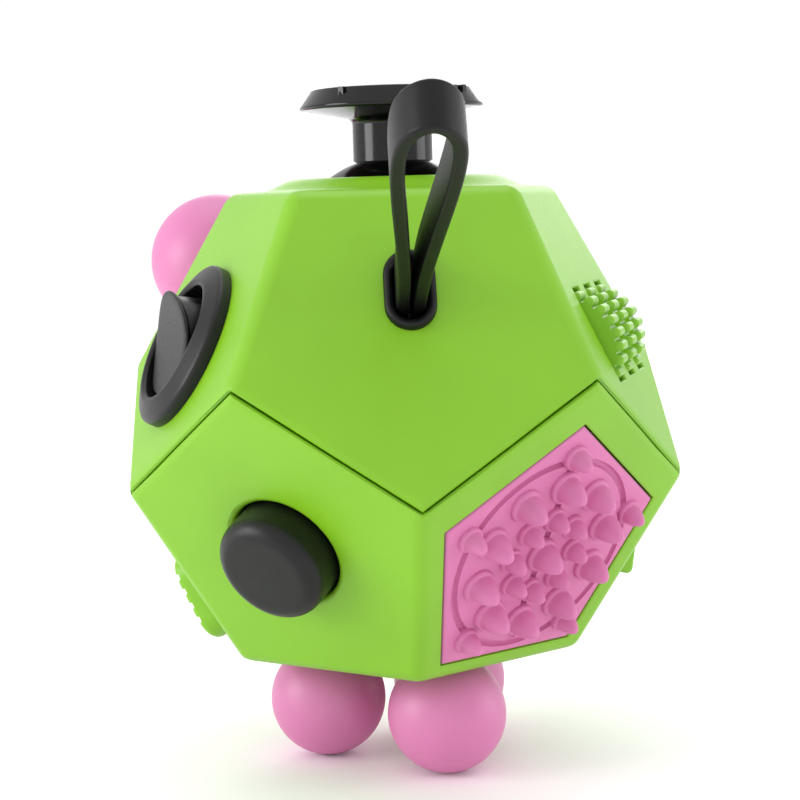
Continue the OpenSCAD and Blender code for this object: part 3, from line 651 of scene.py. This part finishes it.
def repeat_round(item, count, radius, start, material):
    """Repeats a small mesh round a circle with Geometry Nodes, and returns the plain mesh."""
    tree = bpy.data.node_groups.new("repeat round a circle", "GeometryNodeTree")
    tree.interface.new_socket("Geometry", in_out="OUTPUT", socket_type="NodeSocketGeometry")
    names = {
        "Geometry": group_input(tree, "Geometry", "NodeSocketGeometry"),
        "Count": group_input(tree, "Count", "NodeSocketInt"),
        "Radius": group_input(tree, "Radius", "NodeSocketFloat"),
        "Start": group_input(tree, "Start", "NodeSocketFloat"),
        "Material": group_input(tree, "Material", "NodeSocketMaterial"),
    }
    given = tree.nodes.new("NodeGroupInput").outputs
    circle = add(tree, "GeometryNodeMeshCircle", (), {"Vertices": given["Count"], "Radius": given["Radius"]})
    start_turn = add(tree, "ShaderNodeCombineXYZ", (), {"Z": given["Start"]})
    turned = add(tree, "GeometryNodeTransform", (),
                 {"Geometry": circle.outputs["Mesh"], "Rotation": start_turn.outputs["Vector"]})
    index = add(tree, "GeometryNodeInputIndex")
    step = add(tree, "ShaderNodeMath", {"operation": "DIVIDE"}, {0: math.tau, 1: given["Count"]})
    turn = add(tree, "ShaderNodeMath", {"operation": "MULTIPLY_ADD"},
               {0: index.outputs["Index"], 1: step.outputs["Value"], 2: given["Start"]})
    facing = add(tree, "ShaderNodeCombineXYZ", (), {"Z": turn.outputs["Value"]})
    copies = add(tree, "GeometryNodeInstanceOnPoints", (),
                 {"Points": turned.outputs["Geometry"], "Instance": given["Geometry"],
                  "Rotation": facing.outputs["Vector"]})
    real = add(tree, "GeometryNodeRealizeInstances", (), {"Geometry": copies.outputs["Instances"]})
    finished = add(tree, "GeometryNodeSetMaterial", (),
                   {"Geometry": real.outputs["Geometry"], "Material": given["Material"]})
    out = tree.nodes.new("NodeGroupOutput")
    tree.links.new(finished.outputs["Geometry"], out.inputs[0])
    modifier = item.modifiers.new("repeat", "NODES")
    modifier.node_group = tree
    modifier[names["Count"]] = count
    modifier[names["Radius"]] = radius
    modifier[names["Start"]] = math.radians(start)
    modifier[names["Material"]] = material
    bpy.context.view_layer.update()
    graph = bpy.context.evaluated_depsgraph_get()
    made = bpy.data.meshes.new_from_object(item.evaluated_get(graph))
    item.modifiers.clear()
    item.data = made
    return item


def wheel(i):
    half = wheel_w / 2
    rim_r = tooth_root - 0.15
    section = [(1.06, -half), (rim_r, -half), (rim_r, half), (1.06, half)]
    hub = mesh_object("hub", *lathe(section, 104, closed=True))
    tooth = mesh_object("tooth", *loft([
        [(x, t, w), (x, -t, w), (x, -t, -w), (x, t, -w)]
        for x, t, w in ((-0.7, 0.5, half - 0.03), (0.12, 0.46, half - 0.03), (0.36, 0.38, half - 0.10),
                        (0.5, 0.26, half - 0.22), (0.57, 0.1, half - 0.36))]))
    teeth = repeat_round(tooth, wheel_teeth, tooth_root, 180 / wheel_teeth, green_abs)
    made = carve(hub, teeth, "UNION")
    made.name = "toothed_wheel_%d" % (i + 2)
    made.data.transform(GEARS @ Matrix.Translation((i * wheel_pitch, -wheel_down, -wheel_depth))
                        @ Matrix.Rotation(math.pi / 2, 4, "Y"))
    return made


for i in (-1, 0, 1):
    number = i + 2
    finish_piece(wheel(i), green_abs, "wheel_%d" % number,
                 ["gear_wheel_%d" % number], sharp=30)

# ---- Dial ----
# A green ABS disc that turns on a fixed ring set into the face. Coarse finger notches run round
# its rim and a fine knurl round the edge of its dished top.

dial_r = 9.6
dial_notches = 40
dial_knurls = 120
ring_r = 11.2


def turned_relief(profile, steps, relief):
    """A turned shape whose points are moved by relief(radius, height, share of a turn)."""
    verts, faces = lathe([(r, z) for r, z in profile], steps)
    moved = []
    for x, y, z in verts:
        r = math.hypot(x, y)
        if r < 1e-6:
            moved.append((x, y, z))
            continue
        share = math.atan2(y, x) / math.tau % 1
        new_r, new_z = relief(r, z, share)
        moved.append((x * new_r / r, y * new_r / r, new_z))
    return moved, faces


def dial_relief(r, z, share):
    if r > dial_r - 0.30 and z > 0.5:
        wave = 0.5 + 0.5 * math.cos(math.tau * share * dial_notches)
        bite = max(0.0, wave - 0.55) / 0.45
        return r - 0.38 * bite, z - 0.10 * bite
    if dial_r - 1.95 < r < dial_r - 1.15:
        return r, z - 0.14 * (0.5 + 0.5 * math.cos(math.tau * share * dial_knurls))
    return r, z


dial_profile = [
    (0, -1.3), (3.1, -1.3), (3.1, 0.15), (dial_r - 0.3, 0.15), (dial_r - 0.06, 0.25),
    (dial_r, 0.45), (dial_r, 0.7), (dial_r, 1.6), (dial_r - 0.08, 1.95),
    (dial_r - 0.28, 2.25), (dial_r - 0.6, 2.38), (dial_r - 1.0, 2.4),
    (dial_r - 1.14, 2.4), (dial_r - 1.2, 2.36), (dial_r - 1.55, 2.2), (dial_r - 1.9, 2.02),
    (dial_r - 1.96, 1.8),
    (dial_r - 2.3, 1.68), (dial_r - 3.2, 1.5), (dial_r - 5.0, 1.3), (dial_r - 7.2, 1.15), (0, 1.1)]
dial = mesh_object("notched_dial", *placed(turned_relief(dial_profile, 480, dial_relief), DIAL))
finish_piece(dial, green_abs, "dial", ["dial"], sharp=50)

dial_seat = [(3.26, -1.2), (3.26, -0.32), (9.6, -0.32), (10.1, -0.16), (10.6, -0.02), (10.95, 0.0),
             (11.1, -0.04), (ring_r, -0.18), (ring_r, -1.2)]
seat = mesh_object("dial_seat", *placed(lathe(dial_seat, 128, closed=True), DIAL))
finish_piece(seat, green_abs, "shell", ["dial_ring"])

# ---- Ball knob and ball feet ----
# Pink ABS balls with a soft sheen, moulded in two halves and polished round. Each has a plain
# doodled doll's face pressed into it; the knob's ball has a neck that runs into its stem.

knob_r, knob_h, knob_stem_r = 7.2, 11.8, 3.75
press_depth = 0.40
ball_turns = 288
pink_abs = moulded_plastic("soft-sheen pink ABS", "#cc74a6", 0.44, 0.30, 0.005)


def oval(cx, cy, rx, ry, width=0.20):
    """A pressed oval outline; each drawing part gives the distance in line widths."""
    return lambda x, y: abs(math.hypot((x - cx) / rx, (y - cy) / ry) - 1) * min(rx, ry) / width


def smile(cx, cy, radius, start, end, width=0.22):
    def part(x, y):
        turn = math.degrees(math.atan2(y - cy, x - cx)) % 360
        near = min(max(turn, start), end) if start <= turn <= end else (
            start if (start - turn) % 360 < (turn - end) % 360 else end)
        t = math.radians(near)
        return math.hypot(x - cx - radius * math.cos(t), y - cy - radius * math.sin(t)) / width
    return part


def stroke(x0, y0, x1, y1, width=0.20):
    def part(x, y):
        dx, dy = x1 - x0, y1 - y0
        t = max(0, min(1, ((x - x0) * dx + (y - y0) * dy) / (dx * dx + dy * dy)))
        return math.hypot(x - x0 - dx * t, y - y0 - dy * t) / width
    return part


def pressed(drawing, x, y):
    """How deep a drawing is pressed in at a point, with soft sides."""
    away = min(part(x, y) for part in drawing)
    t = max(0.0, min(1.0, (1.25 - away) / 0.55))
    return press_depth * t * t * (3 - 2 * t)


def face_ball(radius, drawing, tail=()):
    """A ball about z whose top carries a drawing; tail is the profile that ends it, if any."""
    fine = [math.radians(76 * k / 96) for k in range(1, 97)]
    last = 180 if not tail else 138
    coarse = [math.radians(76 + (last - 76) * k / 20) for k in range(1, 20 if not tail else 21)]
    verts, rings = [(0, 0, radius - pressed(drawing, 0, 0))], []
    for turn in fine + coarse:
        ring = []
        for k in range(ball_turns):
            a = math.tau * k / ball_turns
            far = radius * turn
            deep = pressed(drawing, far * math.cos(a), far * math.sin(a)) if turn <= fine[-1] else 0
            r = (radius - deep) * math.sin(turn)
            ring.append((r * math.cos(a), r * math.sin(a), (radius - deep) * math.cos(turn)))
        rings.append(ring)
    for r, z in tail:
        rings.append([(r * math.cos(math.tau * k / ball_turns), r * math.sin(math.tau * k / ball_turns), z)
                      for k in range(ball_turns)])
    for ring in rings:
        verts += ring
    n, count = len(rings), ball_turns
    faces = [[0, 1 + (k + 1) % count, 1 + k] for k in range(count)]
    faces += [[1 + i * count + k, 1 + i * count + (k + 1) % count,
               1 + (i + 1) * count + (k + 1) % count, 1 + (i + 1) * count + k]
              for i in range(n - 1) for k in range(count)]
    faces.append([1 + (n - 1) * count + k for k in range(count)])
    return verts, faces


def bore(place, radius, low, high):
    """A plain round cutter about z of the given place."""
    rod = lathe([(0, low), (radius, low), (radius, high), (0, high)], 48)
    return mesh_object("bore", *placed(rod, place))


knob_face = [
    oval(-1.9, 0.8, 1.15, 1.5), oval(-1.9, 0.5, 0.55, 0.6),
    oval(1.9, 0.8, 1.15, 1.5), oval(1.9, 0.5, 0.55, 0.6),
    stroke(-4.6, 3.4, -0.7, 2.3), stroke(4.6, 3.4, 0.7, 2.3),
    smile(-1.3, -3.4, 1.3, 20, 160), smile(1.3, -3.4, 1.3, 20, 160),
]
neck = [(4.55, -5.62), (4.18, -6.0), (3.92, -6.5), (3.80, -7.1), (knob_stem_r, -7.9), (knob_stem_r, -11.4),
        (3.80, -11.9), (3.80, -13.3)]
knob_at = KNOB @ Matrix.Translation((0, 0, knob_h))
knob = mesh_object("ball_knob", *placed(face_ball(knob_r, knob_face, neck), knob_at))
carve(knob, bore(KNOB, 1.86, -3.0, 9.8))
finish_piece(knob, pink_abs, "knob", ["knob"], sharp=60)

grin_x, grin_r = -0.8, 3.3
grin = [smile(grin_x, 0.0, grin_r, 90, 270), stroke(grin_x, -grin_r, grin_x, grin_r)]
for line in (-2.2, -1.1, 0.0, 1.1, 2.2):
    grin.append(stroke(grin_x - math.sqrt(grin_r**2 - line**2), line, grin_x, line, 0.15))
grin += [smile(2.2, 1.9, 1.9, 290, 360), smile(2.2, 1.9, 1.9, 0, 70), stroke(2.7, -1.7, 3.1, -2.2, 0.24)]
laugh = [smile(0.0, 0.6, 3.4, 200, 340), stroke(-3.5, -0.2, -2.9, -0.7), stroke(3.5, -0.2, 2.9, -0.7),
         oval(-1.5, 2.5, 0.85, 1.15), oval(1.5, 2.5, 0.85, 1.15),
         oval(-1.5, 2.3, 0.4, 0.5), stroke(-2.6, 1.6, -3.0, 2.0)]
wide_eyes = [oval(-1.75, 1.4, 1.25, 1.75), oval(1.75, 1.4, 1.25, 1.75),
             oval(-1.75, 1.9, 0.8, 0.95, 0.15), oval(1.75, 1.9, 0.8, 0.95, 0.15),
             oval(-1.95, 0.45, 0.4, 0.4, 0.14), oval(1.95, 0.45, 0.4, 0.4, 0.14),
             smile(0, -1.5, 0.9, 215, 325)]
# Each face is placed as somebody under the toy sees it: how far aside and down on its ball, in
# ball radii, and the way the top of its head points. The three vectors are that view's axes.
faces_on_feet = [
    (grin, (-0.06, 0.44), (0.3, -1.0)),
    (wide_eyes, (-0.02, 0.50), (0.0, -1.0)),
    (laugh, (0.02, 0.16), (-0.64, 0.77)),
]
below_right = Vector((-0.807, -0.590, 0.014))
below_down = Vector((0.512, -0.713, -0.479))
below_out = -Vector((0.293, -0.380, 0.878))


def facing(look, up):
    """A turn that points z along look and y as near up as it can."""
    z = look.normalized()
    x = up.cross(z).normalized()
    return Matrix((x, z.cross(x), z)).transposed().to_4x4()


for i, (drawing, (aside, down), (up_right, up_down)) in enumerate(faces_on_feet):
    look = below_right * aside + below_down * down + below_out * math.sqrt(1 - aside**2 - down**2)
    head_up = below_right * up_right + below_down * up_down
    here = FEET @ Vector((*foot_spots[i], foot_h))
    ball = mesh_object("ball_foot_%d" % (i + 1), *placed(
        face_ball(foot_d / 2, drawing), Matrix.Translation(here) @ facing(look, head_up)))
    carve(ball, bore(FEET @ Matrix.Translation((*foot_spots[i], 0)), 1.56, -1.0, 7.8))
    finish_piece(ball, pink_abs, "foot_%d" % (i + 1), ["foot_ball_%d" % (i + 1)], sharp=60)

marble_r, marble_steps = 2.1, 32
half_circle = [(marble_r * math.sin(t), seat_z + marble_r * math.cos(t))
               for t in [math.pi * k / marble_steps for k in range(marble_steps + 1)]]
marble = mesh_object("centre_marble", *placed(lathe(half_circle, 64), FEET))
finish_piece(marble, pink_abs, "centre", ["centre_ball"], weighted=False)

# ---- Rocker switch ----
# A satin black round switch: an ABS collar pressed into the face, and an oval see-saw plate that
# rocks in it on a pin. The plate is scooped for the finger, with a thin lip over its side.

rocker_down, rocker_pivot, rocker_tilt = 2.2, 0.8, 18
rocker_at = ROCKER @ Matrix.Translation((0, -rocker_down, 0))
satin_abs = moulded_plastic("satin black ABS", "#080808", 0.40, 0.30, 0.006, shine=0.34)
bezel_profile = [(5.6, -5.3), (6.5, -5.3), (6.5, 0.03), (8.0, 0.03), (8.0, 0.85), (7.95, 1.05), (7.78, 1.2),
                 (7.55, 1.32), (6.35, 1.84), (6.15, 1.9), (5.92, 1.88), (5.72, 1.74), (5.62, 1.5)]
bezel = mesh_object("rocker_collar", *placed(lathe(bezel_profile, 128, closed=True), rocker_at))
finish_piece(bezel, satin_abs, "shell", ["rocker_bezel"])


def oval_ring(rx, ry, height, count=96):
    """An oval ring whose heights come from height(x, y)."""
    turns = [math.tau * k / count for k in range(count)]
    return [(rx * math.cos(t), ry * math.sin(t), height(rx * math.cos(t), ry * math.sin(t))) for t in turns]


def scoop(drop):
    return lambda x, y: 1.16 + 0.033 * y * y - drop


rocker_rings = [oval_ring(3.6, 3.4, lambda x, y: -2.4)]
rocker_rings += [oval_ring(4.9, 4.45, scoop(3.0)), oval_ring(4.9, 4.45, scoop(0.55)),
                 oval_ring(5.08, 4.7, scoop(0.46)), oval_ring(5.18, 4.82, scoop(0.36)),
                 oval_ring(5.2, 4.85, scoop(0.18)), oval_ring(5.12, 4.76, scoop(0.04)),
                 oval_ring(4.98, 4.62, scoop(0.0))]
rocker_rings += [oval_ring(4.98 * s, 4.62 * s, scoop(0.0)) for s in (0.85, 0.7, 0.55, 0.4, 0.25, 0.1)]
switch = mesh_object("rocker_plate", *placed(
    loft(rocker_rings), rocker_at @ Matrix.Translation((0, 0, rocker_pivot))
    @ Matrix.Rotation(math.radians(rocker_tilt), 4, "X")))
finish_piece(switch, satin_abs, "rocker", ["rocker"], sharp=45)

# ---- Studded pad ----
# A pink silicone sheet glued into a five-sided recess, with rounded studs in three rings and a
# shallow ring groove and channel between them. It yields a little and stays matt.

pad_edge, pad_down = 15.75, 1.2
PAD_AT = PAD @ Matrix.Translation((0, -pad_down, 0))
pink_silicone = silicone("moulded pink silicone", "#cf78a8", 0.50, 0.25, glow=0.15)
pad_rings = [pentagon(pad_edge - 0.1, -1.27), pentagon(pad_edge, -1.2), pentagon(pad_edge, -0.28),
             pentagon(pad_edge - 0.14, -0.1), pentagon(pad_edge - 0.4, -0.02), pentagon(pad_edge - 0.7, 0.0)]
pad = mesh_object("stud_pad", *placed(loft(pad_rings), PAD_AT))
cut = [placed(lathe([(9.45, 0.5), (9.45, -0.25), (9.62, -0.45), (9.98, -0.45), (10.15, -0.25), (10.15, 0.5)],
                    120, closed=True), PAD_AT)]
carve(pad, joined("ring_groove", cut))
gully = [(-0.4, 0.5), (-0.4, -0.25), (-0.25, -0.45), (0.25, -0.45), (0.4, -0.25), (0.4, 0.5)]
cut = [placed(loft([[(x, y, z) for x, z in gully] for y in (-9.6, 10.9)]), PAD_AT)]
carve(pad, joined("channel", cut))


def stud(r):
    """A pointed acorn with a soft collar, standing on the pad."""
    profile = [(0, -0.5), (r, -0.5), (r, 0.22), (0.97 * r, 0.36), (0.88 * r, 0.46), (0.80 * r, 0.50)]
    profile += [(0.78 * r, 0.56), (0.75 * r, 0.4 + 0.34 * r), (0.66 * r, 0.4 + 0.66 * r)]
    profile += [(0.52 * r, 0.4 + 0.96 * r)]
    profile += [(0.40 * r, 0.4 + 1.18 * r), (0.28 * r, 0.4 + 1.34 * r), (0.15 * r, 0.4 + 1.44 * r)]
    return lathe(profile + [(0, 0.4 + 1.48 * r)], 40)


stud_rings = [(1, 0.0, 1.7), (8, 3.8, 1.2), (10, 7.2, 1.65), (5, 10.3, 1.25)]
for count, ring, r in stud_rings:
    one = mesh_object("stud", *stud(r))
    studs = repeat_round(one, count, ring, 90, pink_silicone) if count > 1 else one
    studs.data.transform(PAD_AT)
    carve(pad, studs, "UNION")
finish_piece(pad, pink_silicone, "shell", ["touch_pad"], sharp=45)

# ---- Sliders ----
# Three green ABS tabs that glide in oblong slots. Each is a rounded pill with four saw-tooth
# grips moulded across its upper end.

slider_w, slider_l, slider_top, slider_neck = 5.2, 9.0, 2.4, 6.0
slider_travel = slot_l - slider_neck - 0.2


def slider(i):
    mid = slot_mid + (slot_step if i == 0 else 0) + (-1 if i == 1 else 1) * slider_travel / 2
    place = SLIDERS @ Matrix.Translation((i * slot_pitch, mid, 0))
    rings = [stadium(slot_w - 0.2, slider_neck, z, steps=20) for z in (-3.4, 0.16)]
    rings += [stadium(slider_w - 2 * g, slider_l - 2 * g, z, steps=20)
              for g, z in ((0.14, 0.17), (0.0, 0.32), (0.0, slider_top - 0.75), (0.09, slider_top - 0.42),
                           (0.3, slider_top - 0.16), (0.62, slider_top - 0.03), (0.95, slider_top))]
    body = mesh_object("grip_slider_%d" % (i + 2), *placed(loft(rings), place))
    wedges = []
    for k in range(4):
        y = -2.2 + 1.5 * k
        side = [(y, slider_top - 0.5), (y + 0.52, slider_top - 0.5), (y + 0.64, slider_top + 0.6),
                (y - 0.42, slider_top + 0.6), (y - 0.12, slider_top - 0.2)]
        wedges.append(placed(loft([[(x, y, z) for y, z in side] for x in (-3, 3)]), place))
    carve(body, joined("grips", wedges))
    return body


for i in (-1, 0, 1):
    name = "slider_%d" % (i + 2)
    finish_piece(slider(i), green_abs, name, [name], sharp=40)

# ---- Flip paddles ----
# Two green ABS see-saw paddles side by side on a steel pin in one square window. Each is a
# shallow trough with rounded edges, and rests tipped the opposite way from its neighbour.

paddle_w, paddle_reach, paddle_t, paddle_depth, paddle_tilt = 8.7, 6.4, 1.6, 3.4, 12
paddle_top = paddle_depth + 1.6
fold_rise = math.tan(math.radians(4))


def paddle_outline(x, g):
    """The trough's section at x, with g taken off all round."""
    reach, corner = paddle_reach - 0.02 - g, 0.55
    tip = paddle_top + reach * fold_rise
    right = arc(reach - corner, tip - corner - g, corner, 80, 0, 6)
    right += arc(reach - 0.3, tip - paddle_t + 0.3 + g, 0.3, -10, -80, 4)
    foot = paddle_top - paddle_t + g
    points = [(0, paddle_top - g), (1.2, paddle_top + 0.03 - g)] + right + [(0, foot)]
    points += [(-y, z) for y, z in right[::-1]] + [(-1.2, paddle_top + 0.03 - g)]
    return [(x, y, z) for y, z in points]


def paddle(side):
    half = paddle_w / 2
    edge_cuts = [(half, 0.42), (half - 0.06, 0.22), (half - 0.2, 0.07), (half - 0.42, 0.0)]
    stations = [(-x, g) for x, g in edge_cuts] + edge_cuts[::-1]
    trough = loft([paddle_outline(x, g) for x, g in stations])
    made = mesh_object("trough_paddle_%d" % (1 if side > 0 else 2), *trough)
    stem = loft([[(x, -1.4, 1.2), (x, 1.4, 1.2), (x, 1.4, paddle_top - 1.1), (x, -1.4, paddle_top - 1.1)]
                 for x in (-half + 0.1, half - 0.1)])
    carve(made, mesh_object("stem", *stem), "UNION")
    flat = Matrix.Rotation(math.pi / 2, 4, "Y")
    barrel = lathe([(0, -half + 0.05), (2.05, -half + 0.05), (2.05, half - 0.05), (0, half - 0.05)], 48)
    carve(made, mesh_object("barrel", *placed(barrel, flat)), "UNION")
    carve(made, bore(flat, 1.07, -half - 1, half + 1))
    made.data.transform(FLIPS @ Matrix.Translation((side * 4.5, 0, -paddle_depth))
                        @ Matrix.Rotation(math.radians(side * paddle_tilt), 4, "X"))
    return made


for side in (1, -1):
    number = 1 if side > 0 else 2
    finish_piece(paddle(side), green_abs, "paddle_%d" % number,
                 ["flip_paddle_%d" % number], sharp=50)

# ---- Push button ----
# A black ABS button with a soft crown, moulded in one piece with the flange that keeps it in.

button_profile = [(0, -3.55), (6.2, -3.55), (6.2, -2.45), (5.25, -2.42), (5.25, 2.0)]
button_profile += arc(3.65, 2.0, 1.6, 6, 80, 12) + [(3.2, 3.55), (2.2, 3.58), (1.0, 3.6), (0, 3.6)]
button = mesh_object("push_button", *placed(lathe(button_profile, 96), BUTTON))
carve(button, bore(BUTTON, 3.05, -4.0, -1.7))
finish_piece(button, satin_abs, "button", ["button_cap"])

# ---- Inner works ----
# Brackets, guides and posts in plain natural and green ABS, springs and pins in drawn steel.
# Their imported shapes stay, and each takes the material it is made of.

inner_abs = moulded_plastic("inner grey ABS", "#8a8c88", 0.48, 0.35, 0.008)


def drawn_steel():
    """Spring and pin wire: a bright metal with a fine even grain."""
    material = moulded_plastic("drawn spring steel", "#b4b6ba", 0.28, 0.15, 0.004, mottle=0.02)
    bsdf = material.node_tree.nodes["Principled BSDF"]
    bsdf.inputs["Metallic"].default_value = 1.0
    return material


spring_steel = drawn_steel()
shown = {"ball_post": pink_abs, "rocker_pin": satin_abs, "joystick_stem": gloss_abs,
         "strap_anchor": satin_abs, "slider_carrier": satin_abs, "flip_paddle": green_abs}
steel_words = ("spring", "pin", "axle")
for name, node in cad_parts.items():
    chosen = next((m for word, m in shown.items() if name.startswith(word)), None)
    if chosen is None:
        chosen = spring_steel if name.endswith(steel_words) else inner_abs
    node.data.materials.clear()
    node.data.materials.append(chosen)
